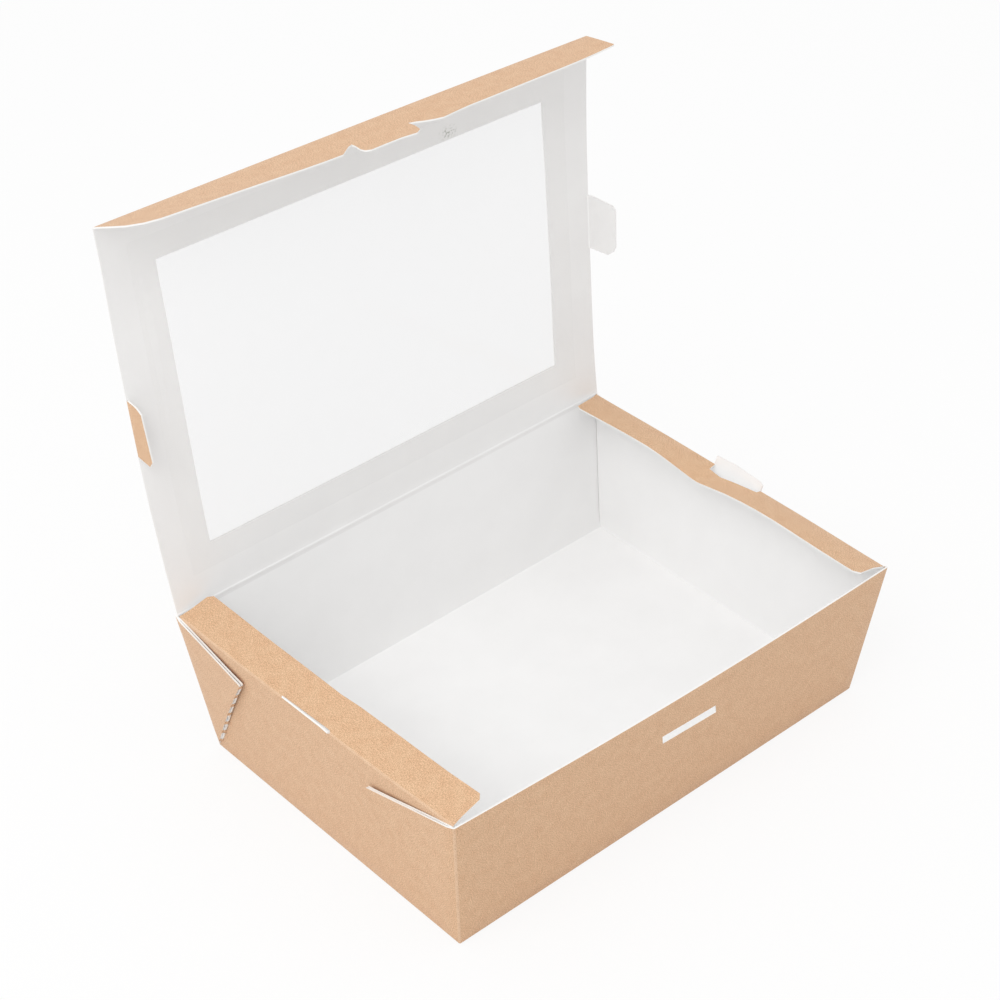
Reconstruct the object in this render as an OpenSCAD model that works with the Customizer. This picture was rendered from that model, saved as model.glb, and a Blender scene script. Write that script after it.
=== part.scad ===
// Folded card takeaway box: a tray with a hinged windowed lid, tucked side tabs and a front lock flap.
// Origin: middle of the tray's underside. +Z is up, the lock flap is at -Y, the lid's hinge at +Y.

/* [Tray] */
// Length of the bottom, left to right
bottom_l = 197; // [120:1:300]
// Width of the bottom, front to back
bottom_w = 140; // [110:1:220]
// Height of the tray, bottom to rim
tray_h = 61.8; // [40:0.1:100]
// Outward lean of the front and back walls, in degrees
long_lean = 6.9; // [2:0.1:15]
// Outward lean of the two end walls, in degrees
end_lean = 6.1; // [2:0.1:12]
// Thickness of the card
card_t = 0.5; // [0.3:0.05:0.8]

/* [Corner gussets] */
// Reach of a front gusset along its end wall
front_gusset_l = 47; // [20:1:52]
// Drop of a front gusset's tip below its upper corner
front_gusset_drop = 11.5; // [6:0.1:25]
// Reach of a back gusset along its end wall
back_gusset_l = 38; // [20:1:52]
// Drop of a back gusset's tip below its upper corner
back_gusset_drop = 10.5; // [6:0.1:25]
// Radius of a gusset's tip
gusset_tip_r = 1.2; // [0.5:0.1:4]
// Space between the two plies of a gusset
ply_gap = 0.15; // [0.05:0.05:0.4]
// Width of the folded rim that holds the two plies together
ply_fold_w = 1; // [0.5:0.1:3]
// Pitch of the perforation along a back gusset's fold
perf_pitch = 4.2; // [3:0.1:8]
// Length of each cut of the perforation
perf_cut = 2; // [0.5:0.1:2.8]
// Depth of each cut of the perforation
perf_depth = 0.5; // [0.2:0.05:0.5]

/* [End flanges] */
// Width of an end flange, crease to free edge
flange_w = 14.7; // [10:0.1:25]
// Depth over which a flange's ends slant in from the crease
flange_slant_w = 5.5; // [3:0.1:9]
// Distance that a flange's ends slant in
flange_slant = 2.3; // [1:0.1:6]
// Radius of a flange's free corners
flange_r = 2; // [0.5:0.1:4]
// Upward slant of the left flange with the lid open, in degrees
left_flange_angle = 15; // [0:1:40]
// Upward slant of the right flange with the lid open, in degrees
right_flange_angle = 15; // [0:1:40]
// Clearance between a flange's ends and the long walls
flange_end_gap = 0.4; // [0.2:0.05:1.5]
// Clearance between the pressed-down flanges and the lid's film
flange_film_gap = 0.25; // [0.15:0.05:1]

/* [Lid] */
// Backward lean of the open lid, in degrees
lid_lean = 3.3; // [0:0.1:25]
// Clearance between the closed lid and the rim
lid_gap = 0.35; // [0.3:0.05:1.2]
// Distance of the lid's front fold outside the front wall
front_overhang = 1.2; // [1:0.1:4]
// Card between the hinge and the window
window_hinge_margin = 21.2; // [14:0.1:40]
// Card between the window and the front fold
window_front_margin = 20.5; // [14:0.1:40]
// Card between the window and each side of the lid
window_side_margin = 20.5; // [14:0.1:40]
// Glued overlap of the film around the window
film_overlap = 10; // [3:0.5:12]
// Thickness of the film
film_t = 0.15; // [0.05:0.05:0.3]
// Clearance between a folded edge and the edge that it turns on
crease_gap = 0.1; // [0.05:0.05:0.4]

/* [Side tabs] */
// Distance from the lid's hinge to the side tabs
tab_start = 66; // [30:0.5:75]
// Length of a side tab along its crease
tab_l = 22.5; // [15:0.5:40]
// Width of a side tab, crease to free edge
tab_w = 11; // [6:0.1:16]
// Distance that a side tab's ends slant in
tab_slant = 1.2; // [0.5:0.1:4]
// Radius of a side tab's free corners
tab_r = 2.5; // [0.5:0.1:4]
// Distance of a side tab's crease inside the lid's side edge
tab_inset = 1.2; // [1:0.1:3]
// Fold of the left tab out of the lid's plane, in degrees
left_tab_fold = 88; // [0:0.5:96]
// Fold of the right tab out of the lid's plane, in degrees
right_tab_fold = 60; // [0:0.5:96]
// Fold of both tabs with the lid closed and the tabs in their slots, in degrees
closed_tab_fold = 96; // [90:0.5:100]
// Play between a side tab and each end of its slot
tab_play = 1.2; // [0.6:0.1:3]
// Play between the tip of a closed side tab and the flange beside it
tab_side_play = 0.4; // [0.3:0.1:2]
// Clearance between the card left at a slot and the slot's ends
slot_end_gap = 0.3; // [0.2:0.05:0.5]
// Height of the card that stands up at the right slot
stand_h = 4; // [2:0.1:8]
// Outward lean of that card, in degrees
stand_lean = 25; // [10:1:40]

/* [Front flap] */
// Width of the front flap, fold to free edge
flap_w = 20.5; // [14:0.1:30]
// Distance that the flap's ends slant in
flap_slant = 5; // [1:0.1:12]
// Radius of the flap's left corner
flap_left_r = 4; // [0.5:0.1:6]
// Radius of the flap's right corner
flap_right_r = 1; // [0.5:0.1:6]
// Fold of the flap out of the lid's plane, in degrees
flap_fold = 82; // [0:0.5:95]
// Width of the tongue at its end
tongue_w = 25; // [16:0.1:40]
// Reach of the tongue from the fold
tongue_l = 25.4; // [22:0.1:36]
// Width of the tongue's neck
neck_w = 24; // [12:0.1:40]
// Height of the flap that is left above each notch
neck_depth = 14.7; // [8:0.1:18]
// Width of each notch at the flap's free edge
notch_w = 8.5; // [4:0.1:14]
// Radius of the tongue's corners
tongue_r = 2.5; // [0.5:0.1:5]
// Distance from the rim down to the lock slot in the front wall
slot_drop = 16; // [10:0.1:25]
// Height of the lock slot
slot_h = 4; // [1:0.1:4]
// Play between the tongue and each end of the lock slot
slot_play = 0.65; // [0.3:0.05:2]

/* [Hidden] */
KRAFT = "burlywood";
half_t = card_t / 2;
far = 2 * (bottom_l + bottom_w + tray_h);
// Small overlap that joins two shapes of one sheet
bite = 0.1;

// Half the distance between two facing walls at height z, from one ply inset towards the inside
function wall_half(base, lean, inset, z) = base / 2 + z * tan(lean) - inset / cos(lean);

// Hinge line of the lid, and the lid's size
hinge_y = wall_half(bottom_w, long_lean, half_t, tray_h);
hinge_z = tray_h + lid_gap + half_t;
lid_l = hinge_y + wall_half(bottom_w, long_lean, 0, tray_h) + front_overhang;
lid_half = wall_half(bottom_l, end_lean, 0, tray_h);

// Crease lines of the end flanges, low enough to lie under the film
crease_z = hinge_z - half_t - film_t - flange_film_gap - half_t;
crease_x = wall_half(bottom_l, end_lean, half_t, crease_z);
wall_top_z = crease_z - half_t - crease_gap;
flange_half = wall_half(bottom_w, long_lean, card_t, crease_z) - flange_end_gap;

// Slots at those creases, where the closed lid's side tabs go
tab_x = lid_half - tab_inset;
tab_mid = tab_start + tab_l / 2;
slot_y = hinge_y - tab_mid;
slot_l = tab_l + 2 * tab_play;
closed_reach = half_t + tab_w * sin(closed_tab_fold - 90);
left_notch = crease_x - tab_x + closed_reach + tab_side_play;
right_notch = max(left_notch, stand_h);

function unit(v) = v / norm(v);

// Ends of a gusset's corner fold on the end wall's plane, side is -1 at the front and 1 at the back
gusset_top_z = wall_top_z - flange_film_gap;
function gusset_foot(side) = [side * wall_half(bottom_w, long_lean, 0, card_t), card_t / cos(end_lean)];
function gusset_top(side) =
    [side * wall_half(bottom_w, long_lean, 0, gusset_top_z), gusset_top_z / cos(end_lean)];

// Points of the arc that rounds corner b between a and c
function corner(a, b, c, r, steps = 6) =
    let (u = unit(a - b), w = unit(c - b))
    let (half = acos(u * w) / 2)
    let (m = b + unit(u + w) * r / sin(half))
    let (from = b + u * r / tan(half) - m, to = b + w * r / tan(half) - m)
    let (start = atan2(from.y, from.x))
    let (turn = atan2(from.x * to.y - from.y * to.x, from * to))
    [for (i = [0:steps]) m + r * [cos(start + turn * i / steps), sin(start + turn * i / steps)]];

// Outline through the given points, each rounded with its own radius
function rounded(points, radii) =
    let (n = len(points))
    [for (i = [0:n - 1]) each radii[i] > 0
        ? corner(points[(i + n - 1) % n], points[i], points[(i + 1) % n], radii[i])
        : [points[i]]];

// Card with its folded edge on the X axis and the rest towards +Y, cut to the outline below it
module panel() {
    steps = 6;
    edge = [for (i = [0:steps]) half_t * [cos(90 + 180 * i / steps), sin(90 + 180 * i / steps)]];
    intersection() {
        linear_extrude(height = 2 * card_t, center = true)
            children();
        rotate([90, 0, 90])
            linear_extrude(height = far, center = true)
                polygon(concat(edge, [[far, -half_t], [far, half_t]]));
    }
}

// Section between two leaning walls, from height z0 to z1
module between_walls(base, lean, inset, z0, z1) {
    low = wall_half(base, lean, inset, z0);
    high = wall_half(base, lean, inset, z1);
    polygon([[-low, z0], [low, z0], [high, z1], [-high, z1]]);
}

// Everything between the front and back walls
module lengthwise(inset, z0, z1) {
    rotate([90, 0, 90])
        linear_extrude(height = far, center = true)
            between_walls(bottom_w, long_lean, inset, z0, z1);
}

// Everything between the two end walls
module crosswise(inset, z0, z1) {
    rotate([90, 0, 0])
        linear_extrude(height = far, center = true)
            between_walls(bottom_l, end_lean, inset, z0, z1);
}

module shell() {
    difference() {
        intersection() {
            lengthwise(0, 0, tray_h);
            crosswise(0, 0, tray_h);
        }
        intersection() {
            lengthwise(card_t, card_t, tray_h + card_t);
            crosswise(card_t, card_t, tray_h + card_t);
        }
    }
}

// Room for the flanges: the end walls stop below their creases, apart from the card at the left slot
module end_wall_cut() {
    kept_l = slot_l - 2 * slot_end_gap;
    difference() {
        lengthwise(card_t, wall_top_z, tray_h + card_t);
        translate([-far, slot_y - kept_l / 2, 0])
            cube([far, kept_l, far]);
    }
}

// Card of the right end wall that stands up out of its slot
module standing_card() {
    kept_l = slot_l - 2 * slot_end_gap;
    low_z = wall_top_z - card_t;
    bend = [crease_x, crease_z];
    low = [wall_half(bottom_l, end_lean, half_t, low_z), low_z];
    tip = bend + stand_h * [sin(stand_lean), cos(stand_lean)];
    mitre = (stand_lean + end_lean) / 2;
    side = half_t / cos((stand_lean - end_lean) / 2) * [cos(mitre), -sin(mitre)];
    low_side = [half_t / cos(end_lean), 0];
    tip_side = half_t * [cos(stand_lean), -sin(stand_lean)];
    translate([0, slot_y, 0])
        rotate([90, 0, 0])
            linear_extrude(height = kept_l, center = true)
                polygon([
                    low - low_side, low + low_side, bend + side,
                    tip + tip_side, tip - tip_side, bend - side
                ]);
}

// Slot in the front wall that takes the lock tongue
module lock_slot() {
    slot_w = tongue_w + 2 * slot_play;
    translate([0, -bottom_w / 2, 0])
        rotate([long_lean, 0, 0])
            translate([-slot_w / 2, -card_t, tray_h / cos(long_lean) - slot_drop - slot_h])
                cube([slot_w, 3 * card_t, slot_h]);
}

// Outline of one corner gusset on the end wall's plane, its top edge raised by grow
module gusset_outline(side, reach, drop, grow) {
    top = gusset_top(side);
    slope = [side * reach, drop];
    tip = top - slope;
    out = [side * reach, 0];
    low = gusset_foot(side) - card_t * unit(tip - gusset_foot(side));
    polygon(rounded(
        [low, tip, top + [0, grow], top + slope + [0, grow], low + out],
        [0, gusset_tip_r, 0, 0, 0]
    ));
}

// Strip along the fold that closes the two plies, w to each side of it
module gusset_fold(side, reach, drop, w) {
    run = gusset_top(side) - [side * reach, drop] - gusset_foot(side);
    translate(gusset_foot(side))
        rotate(atan2(run.y, run.x))
            translate([-reach, -w])
                square([norm(run) + 2 * reach, 2 * w]);
}

// Short cuts across that fold
module gusset_cuts(side, reach, drop) {
    run = gusset_top(side) - [side * reach, drop] - gusset_foot(side);
    translate(gusset_foot(side))
        rotate(atan2(run.y, run.x))
            for (at = [2 * perf_pitch:perf_pitch:norm(run) - perf_pitch])
                translate([at - perf_cut / 2, -perf_depth])
                    square([perf_cut, 2 * perf_depth]);
}

// Two plies folded flat against the right end wall, with the space between them open at the top
module gusset(side, reach, drop, perforated) {
    plies = 2 * card_t + ply_gap;
    corner_y = side * (bottom_w / 2 - ply_fold_w);
    intersection() {
        lengthwise(0, 0, tray_h);
        translate([bottom_l / 2, 0, 0])
            rotate([0, end_lean, 0])
                rotate([90, 0, 90])
                    difference() {
                        translate([0, 0, -bite])
                            linear_extrude(height = plies + bite)
                                difference() {
                                    gusset_outline(side, reach, drop, 0);
                                    if (perforated)
                                        gusset_cuts(side, reach, drop);
                                }
                        translate([0, 0, card_t])
                            linear_extrude(height = ply_gap)
                                difference() {
                                    gusset_outline(side, reach, drop, tray_h);
                                    gusset_fold(side, reach, drop, ply_fold_w);
                                    translate([corner_y, 0])
                                        rotate(-side * long_lean)
                                            translate([side > 0 ? 0 : -far, -far])
                                                square([far, 2 * far]);
                                }
                    }
    }
}

module gussets() {
    gusset(-1, front_gusset_l, front_gusset_drop, false);
    gusset(1, back_gusset_l, back_gusset_drop, true);
}

module tray() {
    color(KRAFT) {
        difference() {
            shell();
            end_wall_cut();
            lock_slot();
        }
        gussets();
        mirror([1, 0, 0])
            gussets();
        standing_card();
    }
}

// Flange of the left end, with a notch at its crease for the lid's side tab
module flange(angle, notch) {
    inner = flange_half - flange_slant;
    translate([-crease_x, 0, crease_z])
        rotate([0, -angle, 0])
            difference() {
                rotate(-90)
                    panel()
                        polygon(rounded(
                            [
                                [-flange_half, -card_t], [flange_half, -card_t], [flange_half, 0],
                                [inner, flange_slant_w], [inner, flange_w],
                                [-inner, flange_w], [-inner, flange_slant_w], [-flange_half, 0]
                            ],
                            [0, 0, 0, 0, flange_r, flange_r, 0, 0]
                        ));
                translate([-card_t, slot_y - slot_l / 2, -card_t])
                    cube([notch + card_t, slot_l, 2 * card_t]);
            }
}

module left_flange() {
    color(KRAFT)
        flange(left_flange_angle, left_notch);
}

module right_flange() {
    color(KRAFT)
        mirror([1, 0, 0])
            flange(right_flange_angle, right_notch);
}

// Places what is drawn on the lid's plane, hinge line on the X axis and inner face towards +Z
module on_lid() {
    translate([0, hinge_y, hinge_z])
        rotate([90 - lid_lean, 0, 0])
            children();
}

// Rectangle around the window, wider than it by margin on every side
module window_rect(margin) {
    w = 2 * (lid_half - window_side_margin + margin);
    h = lid_l - window_hinge_margin - window_front_margin + 2 * margin;
    translate([-w / 2, window_hinge_margin - margin])
        square([w, h]);
}

module lid() {
    recess_l = slot_l + 2 * slot_end_gap;
    recess_x = tab_x - half_t - crease_gap;
    color(KRAFT)
        on_lid()
            panel()
                difference() {
                    translate([-lid_half, -card_t])
                        square([2 * lid_half, lid_l + card_t - half_t - crease_gap]);
                    window_rect(0);
                    for (side = [0, 1])
                        mirror([side, 0])
                            translate([recess_x, tab_mid - recess_l / 2])
                                square([tab_inset + card_t, recess_l]);
                }
}

module window_film() {
    color([0.9, 0.95, 1, 0.4])
        on_lid()
            translate([0, 0, half_t])
                linear_extrude(height = film_t)
                    window_rect(film_overlap);
}

// Flap along the lid's front fold, with a notch on each side of its lock tongue
module front_flap() {
    inner = lid_half - flap_slant;
    notch = flap_w - neck_depth;
    color(KRAFT)
        on_lid()
            translate([0, lid_l, 0])
                rotate([flap_fold, 0, 0])
                    panel() {
                        difference() {
                            polygon(rounded(
                                [
                                    [-lid_half, -card_t], [lid_half, -card_t], [lid_half, 0],
                                    [inner, flap_w], [-inner, flap_w], [-lid_half, 0]
                                ],
                                [0, 0, 0, flap_right_r, flap_left_r, 0]
                            ));
                            translate([0, neck_depth])
                                for (side = [-1, 1])
                                    polygon([
                                        [side * neck_w / 2, 0],
                                        [side * (neck_w / 2 + notch_w), notch],
                                        [side * (neck_w / 2 + notch_w), notch + card_t],
                                        [side * neck_w / 2, notch + card_t]
                                    ]);
                        }
                        polygon(rounded(
                            [
                                [-neck_w / 2, flap_slant], [neck_w / 2, flap_slant],
                                [neck_w / 2, neck_depth], [tongue_w / 2, tongue_l],
                                [-tongue_w / 2, tongue_l], [-neck_w / 2, neck_depth]
                            ],
                            [0, 0, 0, tongue_r, tongue_r, 0]
                        ));
                    }
}

// Tab of the lid's right side, folded inwards
module side_tab(fold) {
    outer = tab_l / 2 - tab_slant;
    on_lid()
        translate([tab_x, tab_mid, 0])
            rotate([0, -fold, 0])
                rotate(-90)
                    panel()
                        polygon(rounded(
                            [
                                [-tab_l / 2, -card_t], [tab_l / 2, -card_t], [tab_l / 2, 0],
                                [outer, tab_w], [-outer, tab_w], [-tab_l / 2, 0]
                            ],
                            [0, 0, 0, tab_r, tab_r, 0]
                        ));
}

module left_tab() {
    color(KRAFT)
        mirror([1, 0, 0])
            side_tab(left_tab_fold);
}

module right_tab() {
    color(KRAFT)
        side_tab(right_tab_fold);
}

tray();
left_flange();
right_flange();
lid();
window_film();
front_flap();
left_tab();
right_tab();
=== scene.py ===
# Kraft card takeaway box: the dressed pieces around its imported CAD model
import math
import bmesh
import bpy
from mathutils import Matrix, Vector


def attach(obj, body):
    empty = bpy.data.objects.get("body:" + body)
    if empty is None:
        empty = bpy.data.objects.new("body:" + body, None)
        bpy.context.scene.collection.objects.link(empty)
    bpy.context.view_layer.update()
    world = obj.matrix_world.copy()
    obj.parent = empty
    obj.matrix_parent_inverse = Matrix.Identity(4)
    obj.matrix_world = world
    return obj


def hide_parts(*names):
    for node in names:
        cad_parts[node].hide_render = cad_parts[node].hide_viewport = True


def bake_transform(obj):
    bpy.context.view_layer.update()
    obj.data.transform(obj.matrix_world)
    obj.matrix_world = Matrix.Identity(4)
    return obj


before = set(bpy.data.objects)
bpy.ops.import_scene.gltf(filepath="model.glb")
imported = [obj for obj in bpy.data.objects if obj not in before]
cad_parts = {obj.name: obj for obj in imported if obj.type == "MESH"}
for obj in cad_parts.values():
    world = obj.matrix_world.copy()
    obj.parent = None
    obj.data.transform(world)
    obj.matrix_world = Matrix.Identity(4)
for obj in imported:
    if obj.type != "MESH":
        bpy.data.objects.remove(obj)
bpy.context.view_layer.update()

mm = 0.001

# Down to the camera all is in millimetres, and each piece is scaled to metres when it is finished.
# Faces are the brown outside of the sheet; Solidify adds the white inside and the cut edges.
card = {
    "thick": 0.6,
    "foldRadius": 0.65,
    "foldSteps": 3,
    "foldStrip": 2.0,     # what each flap takes with it from beyond its fold
    "foldAngle": 25.0,    # degrees, beyond which an edge is a fold to round
    "smoothBelow": 32.0,  # degrees, up to which an edge is shaded smooth
    "cell": 8.0,
    "cornerSteps": 4,
    "weld": 0.02,
    "onLine": 0.001,
    "mapSize": 100.0,     # millimetres of sheet to one unit of its UV map
}


def mix(a, b, t):
    return a + (b - a) * t


def eased(t):
    t = min(max(t, 0.0), 1.0)
    return t * t * (3 - 2 * t)


def curveThrough(stops, values, at):
    # smooth curve through the values, held flat beyond the first and last stop
    at = min(max(at, stops[0]), stops[-1])
    last = len(stops) - 1
    i = max(k for k in range(last) if stops[k] <= at)

    def slope(k):
        low, high = max(k - 1, 0), min(k + 1, last)
        return (values[high] - values[low]) / (stops[high] - stops[low])

    span = stops[i + 1] - stops[i]
    t = (at - stops[i]) / span
    first = values[i] * (1 + 2 * t) * (1 - t) ** 2 + slope(i) * span * t * (1 - t) ** 2
    second = values[i + 1] * t * t * (3 - 2 * t) - slope(i + 1) * span * t * t * (1 - t)
    return first + second


def between(corners, u, v):
    # point on the surface through four corners, in order round it
    a, b, c, d = (Vector(p) for p in corners)
    return a.lerp(b, u).lerp(d.lerp(c, u), v)


# Sheets are cut out flat, then bent into place

def cutOut(points, rounded=()):
    mesh = bmesh.new()
    corners = [mesh.verts.new((x, y, 0)) for x, y in points]
    mesh.faces.new(corners)
    for index, radius in rounded:
        bmesh.ops.bevel(mesh, geom=[corners[index]], affect="VERTICES", offset=radius,
                        segments=card["cornerSteps"], profile=0.5, material=-1)
    return mesh


def cutAcross(mesh, point, direction, faces):
    edges = {e for f in faces for e in f.edges}
    verts = {v for f in faces for v in f.verts}
    bmesh.ops.bisect_plane(mesh, geom=[*faces, *edges, *verts], dist=1e-5,
                           plane_co=point, plane_no=direction)


def gridCut(mesh, across, up):
    for x in across:
        cutAcross(mesh, (x, 0, 0), (1, 0, 0), mesh.faces[:])
    for y in up:
        cutAcross(mesh, (0, y, 0), (0, 1, 0), mesh.faces[:])
    return mesh


def divided(length, count):
    return [length * i / count for i in range(1, count)]


def steps(low, high, step=card["cell"]):
    count = max(1, round((high - low) / step))
    return [mix(low, high, i / count) for i in range(1, count)]


def openHole(mesh, points, margin=1.05):
    # cuts along each side of a convex hole, near it only, and takes out what is inside
    corners = [Vector((x, y, 0)) for x, y in points]
    middle = sum(corners, Vector()) / len(corners)
    reach = margin * max((p - middle).length for p in corners)
    sides = []
    for p, q in zip(corners, corners[1:] + corners[:1]):
        outward = Vector((q.y - p.y, p.x - q.x, 0)).normalized()
        if outward.dot(middle - p) > 0:
            outward.negate()
        sides.append((p, outward))
        near = [f for f in mesh.faces if any((v.co - middle).length < reach for v in f.verts)
                or bmesh.geometry.intersect_face_point(f, middle)]
        cutAcross(mesh, p, outward, near)
    inside = [f for f in mesh.faces
              if all((f.calc_center_median() - p).dot(outward) < 0 for p, outward in sides)]
    bmesh.ops.delete(mesh, geom=inside, context="FACES")


def bend(mesh, place, shift=(0, 0)):
    # keeps the flat place as the UV map, then moves the sheet into its shape
    flat = mesh.loops.layers.uv.new("Card")
    for face in mesh.faces:
        for loop in face.loops:
            x, y = loop.vert.co.xy
            loop[flat].uv = ((x + shift[0]) / card["mapSize"], (y + shift[1]) / card["mapSize"])
    for vert in mesh.verts:
        vert.co = place(*vert.co)
    return mesh


def join(meshes):
    whole = bmesh.new()
    for mesh in meshes:
        part = bpy.data.meshes.new("part")
        mesh.to_mesh(part)
        mesh.free()
        whole.from_mesh(part)
        bpy.data.meshes.remove(part)
    bmesh.ops.remove_doubles(whole, verts=whole.verts, dist=card["weld"])
    bmesh.ops.recalc_face_normals(whole, faces=whole.faces)
    return whole


def faceOutwards(mesh, outward):
    bmesh.ops.recalc_face_normals(mesh, faces=mesh.faces)
    biggest = max(mesh.faces, key=lambda f: f.calc_area())
    if biggest.normal.dot(Vector(outward)) < 0:
        bmesh.ops.reverse_faces(mesh, faces=mesh.faces)


def roundFolds(mesh, edges, radius=card["foldRadius"]):
    made = bmesh.ops.bevel(mesh, geom=edges, affect="EDGES", offset=radius,
                           segments=card["foldSteps"], profile=0.5, material=-1)
    for face in made["faces"]:
        face.material_index = 3  # the creased finishes


def foldEdges(mesh):
    least = math.radians(card["foldAngle"])
    return [e for e in mesh.edges if len(e.link_faces) == 2 and e.calc_face_angle(0) > least]


def finishPiece(name, mesh, finishes, node, thick=card["thick"], slot="kraft_card"):
    bmesh.ops.scale(mesh, vec=(mm, mm, mm), verts=mesh.verts)
    sheet = bpy.data.meshes.new(name)
    mesh.to_mesh(sheet)
    mesh.free()
    piece = bpy.data.objects.new(name, sheet)
    bpy.context.scene.collection.objects.link(piece)
    for finish in finishes:
        sheet.materials.append(finish)
    wall = piece.modifiers.new("Card", "SOLIDIFY")
    wall.thickness = thick * mm
    wall.offset = -1
    wall.use_even_offset = True
    if slot == "kraft_card":
        wall.material_offset = 1
        wall.material_offset_rim = 2
    solid = bpy.data.meshes.new_from_object(piece.evaluated_get(bpy.context.evaluated_depsgraph_get()))
    piece.modifiers.clear()
    piece.data = solid
    solid.name = name
    bpy.data.meshes.remove(sheet)
    solid.shade_smooth()
    solid.set_sharp_from_angle(angle=math.radians(card["smoothBelow"]))
    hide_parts(node)
    print("made", name, len(solid.polygons))
    return piece


# Finishes

def newFinish(name, roughness):
    finish = bpy.data.materials.new(name)
    finish.use_nodes = True
    shader = finish.node_tree.nodes["Principled BSDF"]
    shader.inputs["Roughness"].default_value = roughness
    return finish, shader


def cardPattern(nodes, links, scale, detail, stretch=(1, 1, 1)):
    # noise over the flat sheet, so that it runs on across the folds
    place = nodes.new("ShaderNodeUVMap")
    place.uv_map = "Card"
    turned = nodes.new("ShaderNodeMapping")
    turned.inputs["Scale"].default_value = stretch
    noise = nodes.new("ShaderNodeTexNoise")
    noise.inputs["Scale"].default_value = scale
    noise.inputs["Detail"].default_value = detail
    links.new(place.outputs["UV"], turned.inputs["Vector"])
    links.new(turned.outputs["Vector"], noise.inputs["Vector"])
    return noise.outputs["Fac"]


def colourRamp(nodes, links, source, span, dark, light):
    ramp = nodes.new("ShaderNodeValToRGB")
    for element, position, colour in zip(ramp.color_ramp.elements, span, (dark, light)):
        element.position = position
        element.color = (*colour, 1)
    links.new(source, ramp.inputs["Fac"])
    return ramp.outputs["Color"]


def colourMix(nodes, links, amount, base, blend="MIX"):
    mixed = nodes.new("ShaderNodeMix")
    mixed.data_type = "RGBA"
    mixed.blend_type = blend
    if isinstance(amount, float):
        mixed.inputs["Factor"].default_value = amount
    else:
        links.new(amount, mixed.inputs["Factor"])
    links.new(base, mixed.inputs["A"])
    return mixed


def addGrain(nodes, links, source, shader, strength):
    bump = nodes.new("ShaderNodeBump")
    bump.inputs["Strength"].default_value = strength
    bump.inputs["Distance"].default_value = 0.05 * mm
    links.new(source, bump.inputs["Height"])
    links.new(bump.outputs["Normal"], shader.inputs["Normal"])


kraft = {
    "roughness": 0.75,
    "sheen": 0.2,
    "sheenTint": (1, 0.9, 0.88),
    "fibreScale": 190,
    "fibreStretch": (1, 1.6, 1),
    "fibreSpan": (0.4, 0.6),
    "dark": (0.53, 0.323, 0.18),
    "light": (0.79, 0.512, 0.31),
    "cloudScale": 24,
    "clouds": 0.3,
    "speckScale": 140,
    "speckSpan": (0.63, 0.74),
    "specks": 0.6,
    "speckColour": (0.44, 0.26, 0.15),
    "bump": 0.05,
}
kraftFoldLook = {**kraft, "dark": (0.60, 0.39, 0.24), "light": (0.80, 0.55, 0.36)}


def kraftFinish(name, look):
    finish, shader = newFinish(name, look["roughness"])
    nodes, links = finish.node_tree.nodes, finish.node_tree.links
    shader.inputs["Sheen Weight"].default_value = look["sheen"]
    shader.inputs["Sheen Tint"].default_value = (*look["sheenTint"], 1)
    fibres = cardPattern(nodes, links, look["fibreScale"], 5, look["fibreStretch"])
    clouds = cardPattern(nodes, links, look["cloudScale"], 5)
    specks = cardPattern(nodes, links, look["speckScale"], 2)
    fibreColour = colourRamp(nodes, links, fibres, look["fibreSpan"], look["dark"], look["light"])
    clouded = colourMix(nodes, links, look["clouds"], fibreColour, "SOFT_LIGHT")
    links.new(clouds, clouded.inputs["B"])
    speckShare = colourRamp(nodes, links, specks, look["speckSpan"], (0, 0, 0), (look["specks"],) * 3)
    specked = colourMix(nodes, links, speckShare, clouded.outputs["Result"])
    specked.inputs["B"].default_value = (*look["speckColour"], 1)
    links.new(specked.outputs["Result"], shader.inputs["Base Color"])
    addGrain(nodes, links, fibres, shader, look["bump"])
    return finish


white = {
    "roughness": 0.6,
    "cloudScale": 5,
    "cloudSpan": (0.3, 0.7),
    "dark": (0.88, 0.875, 0.87),
    "light": (0.90, 0.895, 0.89),
    "grainScale": 120,
    "bump": 0.08,
    "scuffAt": (0.393, 3.385, 0),  # the small scuff above the window, on the UV map
    "scuffSize": (0.05, 0.035, 1),
    "scuffGrain": 90,
    "scuffSpan": (0.5, 0.62),
    "scuffColour": (0.35, 0.36, 0.31),
}
whiteFoldLook = {**white, "dark": (0.89, 0.885, 0.88), "light": (0.93, 0.925, 0.92)}
cutEdgeLook = {**white, "dark": (0.84, 0.83, 0.81), "light": (0.90, 0.89, 0.87)}
# the lid's inside is the same white card, drawn darker as painted shade for the lid that faces the front
lidShadeWhiteLook = {**white, "dark": (0.825, 0.816, 0.81), "light": (0.845, 0.838, 0.83)}


def scuffShare(nodes, links, look):
    place = nodes.new("ShaderNodeUVMap")
    place.uv_map = "Card"
    around = nodes.new("ShaderNodeMapping")
    around.vector_type = "TEXTURE"
    around.inputs["Location"].default_value = look["scuffAt"]
    around.inputs["Scale"].default_value = look["scuffSize"]
    spot = nodes.new("ShaderNodeTexGradient")
    spot.gradient_type = "SPHERICAL"
    marks = cardPattern(nodes, links, look["scuffGrain"], 3)
    marked = nodes.new("ShaderNodeMapRange")
    marked.inputs["From Min"].default_value, marked.inputs["From Max"].default_value = look["scuffSpan"]
    share = nodes.new("ShaderNodeMath")
    share.operation = "MULTIPLY"
    links.new(place.outputs["UV"], around.inputs["Vector"])
    links.new(around.outputs["Vector"], spot.inputs["Vector"])
    links.new(marks, marked.inputs["Value"])
    links.new(marked.outputs["Result"], share.inputs[0])
    links.new(spot.outputs["Fac"], share.inputs[1])
    return share.outputs["Value"]


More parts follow.
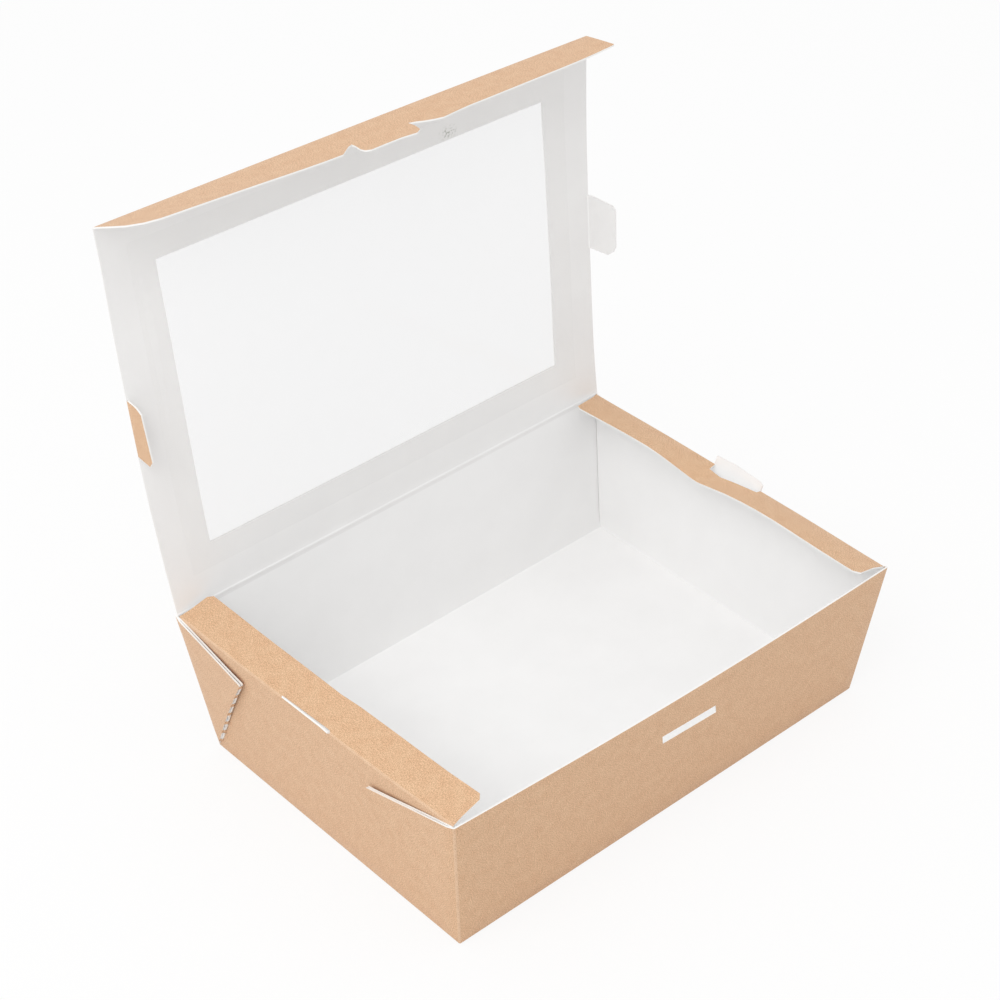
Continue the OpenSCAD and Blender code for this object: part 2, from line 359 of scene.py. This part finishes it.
def whiteFinish(name, look):
    finish, shader = newFinish(name, look["roughness"])
    nodes, links = finish.node_tree.nodes, finish.node_tree.links
    clouds = cardPattern(nodes, links, look["cloudScale"], 4)
    clouded = colourRamp(nodes, links, clouds, look["cloudSpan"], look["dark"], look["light"])
    scuffed = colourMix(nodes, links, scuffShare(nodes, links, look), clouded)
    scuffed.inputs["B"].default_value = (*look["scuffColour"], 1)
    links.new(scuffed.outputs["Result"], shader.inputs["Base Color"])
    grain = cardPattern(nodes, links, look["grainScale"], 3)
    addGrain(nodes, links, grain, shader, look["bump"])
    return finish


def filmFinish(name, look):
    finish, shader = newFinish(name, look["roughness"])
    shader.inputs["Base Color"].default_value = (*look["tint"], 1)
    shader.inputs["Alpha"].default_value = look["alpha"]
    return finish


kraftCard = kraftFinish("kraftCard", kraft)
kraftFold = kraftFinish("kraftFold", kraftFoldLook)
whiteCard = whiteFinish("whiteCard", white)
whiteFold = whiteFinish("whiteFold", whiteFoldLook)
cutEdge = whiteFinish("cutEdge", cutEdgeLook)
lidShadeWhite = whiteFinish("lidShadeWhite", lidShadeWhiteLook)
# outside, inside and cut edge, then the same for the creases
cardFinishes = [kraftCard, whiteCard, cutEdge, kraftFold, whiteFold, cutEdge]
# the lid's pieces take the darker white inside: painted shade
lidFinishes = [kraftCard, lidShadeWhite, cutEdge, kraftFold, whiteFold, cutEdge]
print("finishes ready")


# Tray: bottom, four walls and the doubled corner gussets, one sheet

tray = {
    "bottom": [(-97.4, -69.4, 0), (97.94, -70.77, 0), (99.5, 71.4, 0), (-99.6, 69.3, 0)],
    "rim": [(-101.9, -75.9, 61.9), (103.9, -79.1, 60.7), (105.3, 79.9, 61.9), (-105.8, 76.68, 61.6)],
    "wallHeight": 62.3,
    "wallLength": 204.0,
    "endLength": {"left": 152.5, "right": 158.8},
    "frontBow": 1.2,
    "frontDip": 1.0,
    "columns": 24,
    "rows": 8,
    "endColumns": 18,
    "cornerInset": 0.6,
    "insetLength": 46.0,
    "insetRise": 7.0,
    "cornerGap": 0.95,
    "gapRise": 5.0,
    "lockSlot": [(-9.55, 17.1), (16.67, 18.0), (17.8, 22.3), (-8.7, 21.3)],
    "slots": {"left": (63.6, 89.9), "right": (64.2, 89.5)},
    "standing": {"left": [(63.6, 0.9), (68.0, 0.4), (89.9, 0.1)],
                 "right": [(64.2, 2.4), (65.9, 3.2), (79.5, 4.0), (89.5, 3.5)]},
    "standingLean": {"left": 60.0, "right": 25.0},
    "foldWithin": 0.03,
    "sheetsAt": {"front": (0, 300), "back": (0, 400), "end": (250, 0)},  # on the UV map
}
bottom, rim = tray["bottom"], tray["rim"]
frontWall = [bottom[0], bottom[1], rim[1], rim[0]]
backWall = [bottom[3], bottom[2], rim[2], rim[3]]
endWalls = {"left": [bottom[0], bottom[3], rim[3], rim[0]], "right": [bottom[1], bottom[2], rim[2], rim[1]]}
wallHeight, wallLength, endLength = tray["wallHeight"], tray["wallLength"], tray["endLength"]


def onFloor(x, y, depth=0):
    return between(bottom, x / wallLength, y / endLength["left"])


def onFrontWall(x, h, depth=0):
    u, v = x / wallLength, h / wallHeight
    swell = math.sin(math.pi * u)
    bow = Vector((0, -tray["frontBow"] * swell * v * v, -tray["frontDip"] * swell * v ** 3))
    return between(frontWall, u, v) + bow


def onBackWall(x, h, depth=0):
    return between(backWall, x / wallLength, h / wallHeight)


def endSurface(end, q, h):
    return between(endWalls[end], q / endLength[end], h / wallHeight)


def outwards(end):
    return Vector((-1, 0, 0)) if end == "left" else Vector((1, 0, 0))


def onEndWall(end, q, h):
    # the end wall lies inside the gussets' two plies near the corners
    fromCorner = min(q, endLength[end] - q)
    inset = tray["cornerInset"] * (1 - eased(fromCorner / tray["insetLength"]))
    inset *= eased(h / tray["insetRise"])
    point = endSurface(end, q, min(h, wallHeight)) - outwards(end) * inset
    point.y += tray["cornerGap"] * (1 - 2 * q / endLength[end]) * eased(h / tray["gapRise"])
    if h > wallHeight:
        lean = math.radians(tray["standingLean"][end])
        point += (h - wallHeight) * (outwards(end) * math.sin(lean) + Vector((0, 0, math.cos(lean))))
    return point


def endWall(end):
    # the wall stops at the flange's strip, apart from the card at the slot
    low, high = tray["slots"][end]
    length, top = endLength[end], wallHeight - card["foldStrip"]
    raised = [(q, wallHeight + rise) for q, rise in tray["standing"][end]]
    mesh = cutOut([(0, 0), (length, 0), (length, top), (high, top), *raised[::-1], (low, top), (0, top)])
    gridCut(mesh, divided(length, tray["endColumns"]), [*divided(wallHeight, tray["rows"]), wallHeight])
    return bend(mesh, lambda q, h, depth: onEndWall(end, q, h), tray["sheetsAt"]["end"])


gussets = {
    "front": {"tip": (44.0, 51.6), "spread": 2.3, "drop": 1.4, "swell": 0.3, "nicks": False,
              "sheetAt": (450, 0)},
    "back": {"tip": (39.4, 54.2), "spread": 2.7, "drop": 1.6, "swell": 0.0, "nicks": True,
             "sheetAt": (450, 100)},
    "start": 4.0,
    "tipRadius": 1.2,
    "columns": (3, 8, 16, 24, 32, 40),
    "tipClear": 2.0,
    "bulge": 0.6,
    "bulgeOver": 3.0,
    "dropOver": 4.0,
    "innerAt": (-0.62, 0.9),
    "nickPitch": 9.8,
    "nickCut": 6.6,
}


def gusset(end, side):
    # two plies, the inner at depth 0 and the outer at depth 1, joined along the diagonal fold
    look = gussets[side]
    tipQ, tipH = look["tip"]
    start, cut, pitch, line = gussets["start"], gussets["nickCut"], gussets["nickPitch"], card["onLine"]
    halfDepth = 0.5

    def diagonal(h):
        return tipQ * h / tipH

    mesh = cutOut([(0, 0), (diagonal(start), start), (tipQ, tipH), (0, wallHeight)],
                  [(2, gussets["tipRadius"])])
    gridCut(mesh, [q for q in gussets["columns"] if q < tipQ - gussets["tipClear"]],
            divided(wallHeight, tray["rows"]))
    inner = bmesh.ops.duplicate(mesh, geom=mesh.verts[:] + mesh.edges[:] + mesh.faces[:])["geom"]
    innerFaces = [f for f in inner if isinstance(f, bmesh.types.BMFace)]
    outerFaces = [f for f in mesh.faces if f not in inner]
    bmesh.ops.translate(mesh, vec=(0, 0, 1), verts=list({v for f in outerFaces for v in f.verts}))
    cutAcross(mesh, (0, start, 0), (0, 1, 0), innerFaces)
    gone = [f for f in mesh.faces
            if f.calc_center_median().z < halfDepth and f.calc_center_median().y < start]
    bmesh.ops.delete(mesh, geom=gone, context="FACES")

    def onDiagonal(vert):
        return abs(vert.co.x - diagonal(vert.co.y)) < line

    folded = [e for e in mesh.edges
              if e.is_boundary and all(onDiagonal(v) and v.co.y > start - line for v in e.verts)]
    strip = bmesh.ops.bridge_loops(mesh, edges=folded)["faces"]
    across = {e for f in strip for e in f.edges if abs(e.verts[0].co.z - e.verts[1].co.z) > halfDepth}
    bmesh.ops.subdivide_edges(mesh, edges=list(across), cuts=card["foldSteps"] - 1, use_grid_fill=True)
    if look["nicks"]:
        # the perforation: cut through, with short bridges left between the cuts
        along = Vector((tipQ, tipH, 0)).normalized()
        at = start + pitch - cut
        while at < math.hypot(tipQ, tipH) - cut:
            for place in (at, at + cut):
                nearFold = [f for f in mesh.faces
                            if abs(f.normal.z) < halfDepth or any(onDiagonal(v) for v in f.verts)]
                cutAcross(mesh, along * place, along, nearFold)
            mesh.normal_update()
            opened = [f for f in mesh.faces if abs(f.normal.z) < halfDepth
                      and at < f.calc_center_median().dot(along) < at + cut]
            bmesh.ops.delete(mesh, geom=opened, context="FACES")
            at += pitch

    def place(q, h, depth):
        share = q / tipQ
        outer = mix(gussets["bulge"], look["spread"], share) * eased(q / gussets["bulgeOver"])
        inside = mix(*gussets["innerAt"], eased(share))
        swell = look["swell"] * (outer - inside) * math.sin(math.pi * depth)
        steep = math.atan2(tipQ, tipH)
        fromCorner = q + swell * math.cos(steep)
        fromFront = fromCorner if side == "front" else endLength[end] - fromCorner
        point = endSurface(end, fromFront, h - swell * math.sin(steep))
        point += outwards(end) * mix(inside, outer, depth)
        if end == "right":
            point.z -= look["drop"] * eased(q / gussets["dropOver"]) * (h / wallHeight) ** 3
        if depth < halfDepth:
            point.y += (1 if side == "front" else -1) * tray["cornerGap"] * (1 - share)
        return point

    return bend(mesh, place, look["sheetAt"])


def makeTray():
    depth = endLength["left"]
    columns, rows = divided(wallLength, tray["columns"]), divided(wallHeight, tray["rows"])
    floor = gridCut(cutOut([(0, 0), (wallLength, 0), (wallLength, depth), (0, depth)]), columns,
                    divided(depth, tray["endColumns"]))
    front = gridCut(cutOut([(0, 0), (wallLength, 0), (wallLength, wallHeight), (0, wallHeight)]),
                    columns, rows)
    openHole(front, [(wallLength / 2 + x, wallHeight - drop) for x, drop in tray["lockSlot"]])
    top = wallHeight - card["foldStrip"]
    back = gridCut(cutOut([(0, 0), (wallLength, 0), (wallLength, top), (0, top)]), columns, rows)
    sheets = [bend(floor, onFloor), bend(front, onFrontWall, tray["sheetsAt"]["front"]),
              bend(back, onBackWall, tray["sheetsAt"]["back"])]
    for end in ("left", "right"):
        sheets.append(endWall(end))
        for side in ("front", "back"):
            sheets.append(gusset(end, side))
    mesh = join(sheets)
    bottomFace = min(mesh.faces, key=lambda f: f.calc_center_median().z)
    if bottomFace.normal.z > 0:
        bmesh.ops.reverse_faces(mesh, faces=mesh.faces)
    folds = [(bottom[i], bottom[(i + 1) % 4]) for i in range(4)] + [(bottom[i], rim[i]) for i in range(4)]

    def onFold(edge):
        for a, b in folds:
            a, b = Vector(a), Vector(b)
            along = (b - a).normalized()
            if all(((v.co - a) - along * (v.co - a).dot(along)).length < tray["foldWithin"]
                   for v in edge.verts):
                return len(edge.link_faces) == 2
        return False

    roundFolds(mesh, [e for e in mesh.edges if onFold(e)])
    return finishPiece("trayCard", mesh, cardFinishes, "tray")


trayCard = makeTray()
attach(trayCard, "tray")


# End flanges: each turns on its crease, and takes a strip of the end wall with it

flanges = {
    "left": {
        "outline": [(0, 0.3), (4.7, 0.9), (12.7, 1.2), (14.4, 3.0), (14.1, 17.3), (14.4, 42.8), (14.3, 63.4),
                    (13.8, 73.3), (14.1, 97.4), (14.2, 127.3), (14.3, 149.3), (12.5, 151.1), (4.8, 151.4),
                    (0, 152.2)],
        "notch": [(63.6, 0), (64.4, 1.1), (88.8, 0.8), (89.9, 0)],
        "angleAt": [0, 152],
        "angles": [15, 15],
        "kinks": [],
    },
    "right": {
        "outline": [(0, 0.3), (5.4, 1.4), (13.1, 1.0), (14.9, 3.5), (14.7, 20), (14.7, 54), (14.7, 85),
                    (14.7, 113), (14.7, 153), (14.0, 155.0), (3.4, 157.3), (0, 158.5)],
        "notch": [(64.2, 0), (64.4, 2.7), (66.2, 3.1), (74.2, 4.5), (81.1, 5.6), (86.5, 4.7), (88.3, 4.5),
                  (89.3, 0)],
        "angleAt": [0, 20, 54, 74, 85, 96, 113, 158],
        "angles": [14.5, 14.0, 15.0, 9.0, 2.0, 6.0, 11.5, 7.5],
        "kinks": [85.0],
    },
    "cutsAlong": [5, 10],
    "turnWithin": 1.2,
    "sheetAt": (400, 0),
}


def makeFlange(end):
    look = flanges[end]
    strip = card["foldStrip"]
    notch = [(p, q) for q, p in look["notch"]]
    columns = divided(endLength[end], tray["endColumns"]) + look["kinks"]
    sheets = [gridCut(cutOut(look["outline"] + notch[::-1]), flanges["cutsAlong"], columns)]
    for low, high in ((look["outline"][0], notch[0]), (notch[-1], look["outline"][-1])):
        below = cutOut([low, high, (-strip, high[1]), (-strip, low[1])])
        sheets.append(gridCut(below, [], columns))
    mesh = join(sheets)

    def place(p, q, depth):
        if p < 0:
            return onEndWall(end, q, wallHeight + p)
        fold = onEndWall(end, q, wallHeight)
        angle = math.radians(curveThrough(look["angleAt"], look["angles"], q))
        return fold + p * (Vector((0, 0, math.sin(angle))) - outwards(end) * math.cos(angle))

    bend(mesh, place, flanges["sheetAt"])
    faceOutwards(mesh, (0, 0, 1))
    roundFolds(mesh, foldEdges(mesh))
    return finishPiece(end + "Flange", mesh, cardFinishes, end + "_flange")


for end in ("left", "right"):
    piece = makeFlange(end)
    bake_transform(piece)


# Lid: a flat panel in the CAD model, here with the photographed curl of its margins

lid = {
    "hinge": (77.2268, 62.4),
    "lean": 3.3,
    "half": 105.1,
    "length": 155.9,
    "inner": 0.25,
    "hingeDrop": 0.55,
    "dropOver": 12.0,
    "window": [(-84.6, 21.2), (84.6, 21.2), (84.6, 135.4), (-84.6, 135.4)],
    "sideColumns": (91.5, 98.0),
    "hingeRows": (3, 7, 12),
    "frontRows": (142, 148),
    "acrossAt": [-105.1, -84.6, 0, 84.6, 105.1],
    "upAt": [0, 21.2, 60, 110, 135.4, 155.9],
    "back": [
        [-0.9, -0.6, 0.7, 2.0, 2.3],
        [1.0, 1.2, 2.1, 3.3, 2.7],
        [3.2, 2.2, 2.2, 2.4, 0.6],
        [4.4, 2.9, 2.3, 1.7, 0.2],
        [3.6, 2.9, 2.2, 1.5, -0.6],
        [0.6, 0.4, -0.4, -1.8, -2.3],
    ],
    "sideways": [
        [-0.1, 0.0, 0, 0.0, 0.2],
        [-0.7, -1.1, 0, 0.0, 0.1],
        [-1.4, -1.6, 0, 0.0, -1.2],
        [-1.6, -1.9, 0, 0.0, -0.4],
        [-1.9, -2.4, 0, 0.0, 0.2],
        [-3.7, -2.8, -1.1, 0.0, 0.0],
    ],
    "tabs": {"left": (66.1, 88.6), "right": (67.8, 90.4)},
    "tabInset": 1.4,
    "creaseHalf": 0.45,
    "creaseBead": 0.15,
    "turnStart": (-0.2, -2.2),  # from the hinge, backwards and up
    "turnEnd": (0.2, 1.8),
    "sheetAt": (0, 200),
}
lidUp = Vector((0, math.sin(math.radians(lid["lean"])), math.cos(math.radians(lid["lean"]))))
lidFront = Vector((0, -lidUp.z, lidUp.y))
lidHinge = Vector((0, *lid["hinge"]))
(windowLeft, windowLow), (windowRight, windowHigh) = lid["window"][0], lid["window"][2]
windowColumns = [windowLeft, *steps(windowLeft, windowRight), windowRight]
windowRows = [windowLow, *steps(windowLow, windowHigh), windowHigh]
lidColumns = [-x for x in lid["sideColumns"][::-1]] + windowColumns + list(lid["sideColumns"])


def lidTable(name, x, s):
    return curveThrough(lid["upAt"], [curveThrough(lid["acrossAt"], row, x) for row in lid[name]], s)


def onLid(x, s, out=0.0):
    # a point of the lid's white face, or out millimetres in front of it
    drop = lid["hingeDrop"] * (1 - eased(s / lid["dropOver"]))
    across = Vector((x + lidTable("sideways", x, s), 0, 0))
    return lidHinge + across + lidUp * (s - drop) + lidFront * (lid["inner"] - lidTable("back", x, s) + out)


def makeLid():
    half, length, strip = lid["half"], lid["length"], card["foldStrip"]
    inset, crease = lid["tabInset"], lid["creaseHalf"]
    (leftLow, leftHigh), (rightLow, rightHigh) = lid["tabs"]["left"], lid["tabs"]["right"]
    mesh = cutOut([
        (-half, -strip), (half, -strip), (half, rightLow), (half - inset, rightLow),
        (half - inset, rightHigh), (half, rightHigh), (half, length - strip), (-half, length - strip),
        (-half, leftHigh), (inset - half, leftHigh), (inset - half, leftLow), (-half, leftLow)])
    gridCut(mesh, lidColumns, [-crease, 0, crease, *lid["hingeRows"], *windowRows, *lid["frontRows"]])
    openHole(mesh, lid["window"])
    for face in mesh.faces:
        if abs(face.calc_center_median().y) < crease:
            face.material_index = 3

    def place(x, s, depth):
        bead = lid["creaseBead"] * (1 - min(abs(s) / crease, 1))
        if s >= 0:
            return onLid(x, s, bead - card["thick"])
        fold = onLid(x, 0, bead - card["thick"])
        along = wallLength * (x + half) / (2 * half)
        step = (fold - onBackWall(along, wallHeight)) * (s + strip) / strip
        return onBackWall(along, wallHeight + s) + step

    bend(mesh, place, lid["sheetAt"])
    faceOutwards(mesh, (0, 1, 0))
    return finishPiece("lidCard", mesh, lidFinishes, "lid")


lidCard = makeLid()
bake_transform(lidCard)

film = {
    "thick": 0.1,
    "overlap": 10.0,
    "liftedBy": 0.05,
    "clear": {"roughness": 0.12, "tint": (0.82, 0.82, 0.83), "alpha": 0.18},
    "glued": {"roughness": 0.35, "tint": (0.86, 0.84, 0.80), "alpha": 0.015},
}


def makeFilm():
    over = film["overlap"]
    mesh = cutOut([(windowLeft - over, windowLow - over), (windowRight + over, windowLow - over),
                   (windowRight + over, windowHigh + over), (windowLeft - over, windowHigh + over)])
    gridCut(mesh, windowColumns, windowRows)
    for face in mesh.faces:
        middle = face.calc_center_median()
        clear = windowLeft < middle.x < windowRight and windowLow < middle.y < windowHigh
        face.material_index = 0 if clear else 1
    bend(mesh, lambda x, s, depth: onLid(x, s, film["liftedBy"]), lid["sheetAt"])
    faceOutwards(mesh, (0, 1, 0))
    finishes = [filmFinish("clearFilm", film["clear"]), filmFinish("gluedFilm", film["glued"])]
    return finishPiece("windowFilm", mesh, finishes, "window_film", film["thick"], "clear_film")


windowFilm = makeFilm()
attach(windowFilm, "lid")


# Front flap with its lock tongue, and the lid's two side tabs

flap = {
    "outline": [
        (-105.1, 0), (-102.5, 8.5), (-100.5, 14.0), (-96.5, 18.5), (-91.5, 20.3), (-88, 20.5),
        (-21.1, 20.6), (-15.6, 16.0), (-13.6, 15.1), (-13.7, 17.3), (-14.7, 21.8), (-14.3, 24.0),
        (-12.7, 25.1), (-6.2, 24.9), (-0.1, 24.9), (6.1, 25.9), (8.7, 24.1), (9.9, 19.9), (10.1, 15.7),
        (12.3, 16.8), (14.8, 18.9), (17.7, 20.6), (20.8, 21.9), (25.5, 21.3), (33.1, 20.6),
        (100.5, 20.5), (101.4, 19.8), (105.1, 0)],
    "angleAt": [-105.1, -77, -58, -24, 34, 66, 87, 105.1],
    "angles": [76, 78.8, 81.1, 85, 85.4, 84.8, 84, 81.3],
    "rows": [0, 5, 10, 15],
    "turnWithin": 1.2,
    "turnBeside": 0.2,
    "sheetAt": (0, 400),
}


def makeFlap():
    strip, half = card["foldStrip"], lid["half"]
    mesh = cutOut(flap["outline"] + [(half, -strip), (-half, -strip)])
    gridCut(mesh, lidColumns, flap["rows"])

    def place(x, w, depth):
        if w < 0:
            return onLid(x, lid["length"] + w, -card["thick"])
        angle = math.radians(curveThrough(flap["angleAt"], flap["angles"], x))
        base = onLid(x, lid["length"], -card["thick"])
        return base + w * (math.cos(angle) * lidUp + math.sin(angle) * lidFront)

    bend(mesh, place, flap["sheetAt"])
    faceOutwards(mesh, (0, 0, 1))
    roundFolds(mesh, foldEdges(mesh))
    return finishPiece("frontFlap", mesh, lidFinishes, "front_flap")


frontFlap = makeFlap()
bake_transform(frontFlap)

tabs = {
    "left": {"outline": [(0, 66.1), (7.1, 64.8), (9.2, 67.2), (8.0, 85.7), (5.4, 87.5), (0, 88.6)],
             "fold": 92.0},
    "right": {"outline": [(0, 67.8), (7.8, 65.0), (10.3, 66.6), (11.2, 68.4), (11.5, 84.6), (10.3, 86.5),
                          (2.2, 90.1), (0, 90.4)],
              "fold": 58.0},
    "columns": [0, 3, 6, 9],
    "rowStep": 6.0,
    "foldRadius": 0.5,
    "turnStart": 1.0,     # inwards from the fold
    "turnEnd": (0.6, 1.2),  # outwards and forwards from it
    "sheetAt": (500, 200),
}


def makeTab(end):
    look, inset, half = tabs[end], lid["tabInset"], lid["half"]
    side = outwards(end)
    low, high = lid["tabs"][end]
    mesh = cutOut(look["outline"] + [(-inset, high), (-inset, low)])
    gridCut(mesh, tabs["columns"], steps(low, high, tabs["rowStep"]))

    def place(w, s, depth):
        if w < 0:
            return onLid(side.x * (half + w), s, -card["thick"])
        onFold = min(max(s, low), high)
        angle = math.radians(look["fold"])
        base = onLid(side.x * half, onFold, -card["thick"]) + lidUp * (s - onFold)
        return base + w * (side * math.cos(angle) + lidFront * math.sin(angle))

    bend(mesh, place, tabs["sheetAt"])
    faceOutwards(mesh, side + Vector((0, 0.3, 0)))
    roundFolds(mesh, foldEdges(mesh), tabs["foldRadius"])
    return finishPiece(end + "Tab", mesh, lidFinishes, end + "_tab")


for end in ("left", "right"):
    piece = makeTab(end)
    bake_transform(piece)
print("card pieces made")


# Camera, light and floor, in metres

view = {
    "place": (-0.4065, -0.4728, 0.55189),
    "right": (0.755025, -0.654955, -0.031152),
    "up": (0.402887, 0.425912, 0.810112),
    "forward": (0.517319, 0.624205, -0.585448),
    "lens": 78.06,
    "sensor": 36,
    "nearest": 0.01,
}
cameraData = bpy.data.cameras.new("camera")
cameraData.lens = view["lens"]
cameraData.sensor_width = view["sensor"]
cameraData.clip_start = view["nearest"]
camera = bpy.data.objects.new("camera", cameraData)
turn = Matrix((view["right"], view["up"], [-c for c in view["forward"]])).transposed()
camera.matrix_world = Matrix.Translation(view["place"]) @ turn.to_4x4()
bpy.context.scene.collection.objects.link(camera)
bpy.context.scene.camera = camera

studio = {
    "world": 0.88,
    "keyLight": {"at": (-0.86, -0.25, 1.31), "aim": (0, 0, 0.08), "size": 1.1, "power": 7.8},
    "floorSize": 4.0,
    "floorColour": (0.86, 0.86, 0.86),
    "floorRoughness": 0.8,
    "floorGlow": 0.85,  # how much of the floor's white is seen rather than lit
}


def seenBy(nodes, links, rays):
    # 1 where one of these rays looks, else 0
    path = nodes.new("ShaderNodeLightPath")
    seen = path.outputs[rays[0]]
    for ray in rays[1:]:
        either = nodes.new("ShaderNodeMath")
        either.operation = "MAXIMUM"
        links.new(seen, either.inputs[0])
        links.new(path.outputs[ray], either.inputs[1])
        seen = either.outputs["Value"]
    return seen


def makeWorld():
    world = bpy.data.worlds.new("studio")
    world.use_nodes = True
    nodes, links = world.node_tree.nodes, world.node_tree.links
    softLight = nodes["Background"]
    softLight.inputs["Color"].default_value = (1, 1, 1, 1)
    softLight.inputs["Strength"].default_value = studio["world"]
    backdrop = nodes.new("ShaderNodeBackground")
    backdrop.inputs["Color"].default_value = (1, 1, 1, 1)
    both = nodes.new("ShaderNodeMixShader")
    links.new(seenBy(nodes, links, ("Is Camera Ray", "Is Transmission Ray")), both.inputs["Fac"])
    links.new(softLight.outputs["Background"], both.inputs[1])
    links.new(backdrop.outputs["Background"], both.inputs[2])
    links.new(both.outputs["Shader"], nodes["World Output"].inputs["Surface"])
    return world


def makeKeyLight(look):
    lamp = bpy.data.lights.new("keyLight", "AREA")
    lamp.shape = "DISK"
    lamp.size = look["size"]
    lamp.energy = look["power"]
    keyLight = bpy.data.objects.new("keyLight", lamp)
    place = Vector(look["at"])
    turned = (Vector(look["aim"]) - place).to_track_quat("-Z", "Y").to_matrix().to_4x4()
    keyLight.matrix_world = Matrix.Translation(place) @ turned
    bpy.context.scene.collection.objects.link(keyLight)


def makeFloor():
    mesh = bmesh.new()
    bmesh.ops.create_grid(mesh, x_segments=1, y_segments=1, size=studio["floorSize"])
    floorData = bpy.data.meshes.new("floor")
    mesh.to_mesh(floorData)
    mesh.free()
    floor = bpy.data.objects.new("floor", floorData)
    bpy.context.scene.collection.objects.link(floor)
    finish, shader = newFinish("floorFinish", studio["floorRoughness"])
    nodes, links = finish.node_tree.nodes, finish.node_tree.links
    shader.inputs["Base Color"].default_value = (*studio["floorColour"], 1)
    glow = nodes.new("ShaderNodeEmission")
    glow.inputs["Strength"].default_value = 1.0
    share = nodes.new("ShaderNodeMath")
    share.operation = "MULTIPLY"
    share.inputs[1].default_value = studio["floorGlow"]
    both = nodes.new("ShaderNodeMixShader")
    rays = ("Is Camera Ray", "Is Glossy Ray", "Is Transmission Ray")
    links.new(seenBy(nodes, links, rays), share.inputs[0])
    links.new(share.outputs["Value"], both.inputs["Fac"])
    links.new(shader.outputs["BSDF"], both.inputs[1])
    links.new(glow.outputs["Emission"], both.inputs[2])
    links.new(both.outputs["Shader"], nodes["Material Output"].inputs["Surface"])
    floorData.materials.append(finish)
    return floor


bpy.context.scene.world = makeWorld()
makeKeyLight(studio["keyLight"])
makeFloor()
bpy.context.scene.view_settings.view_transform = "Standard"
print("camera, light and floor ready")
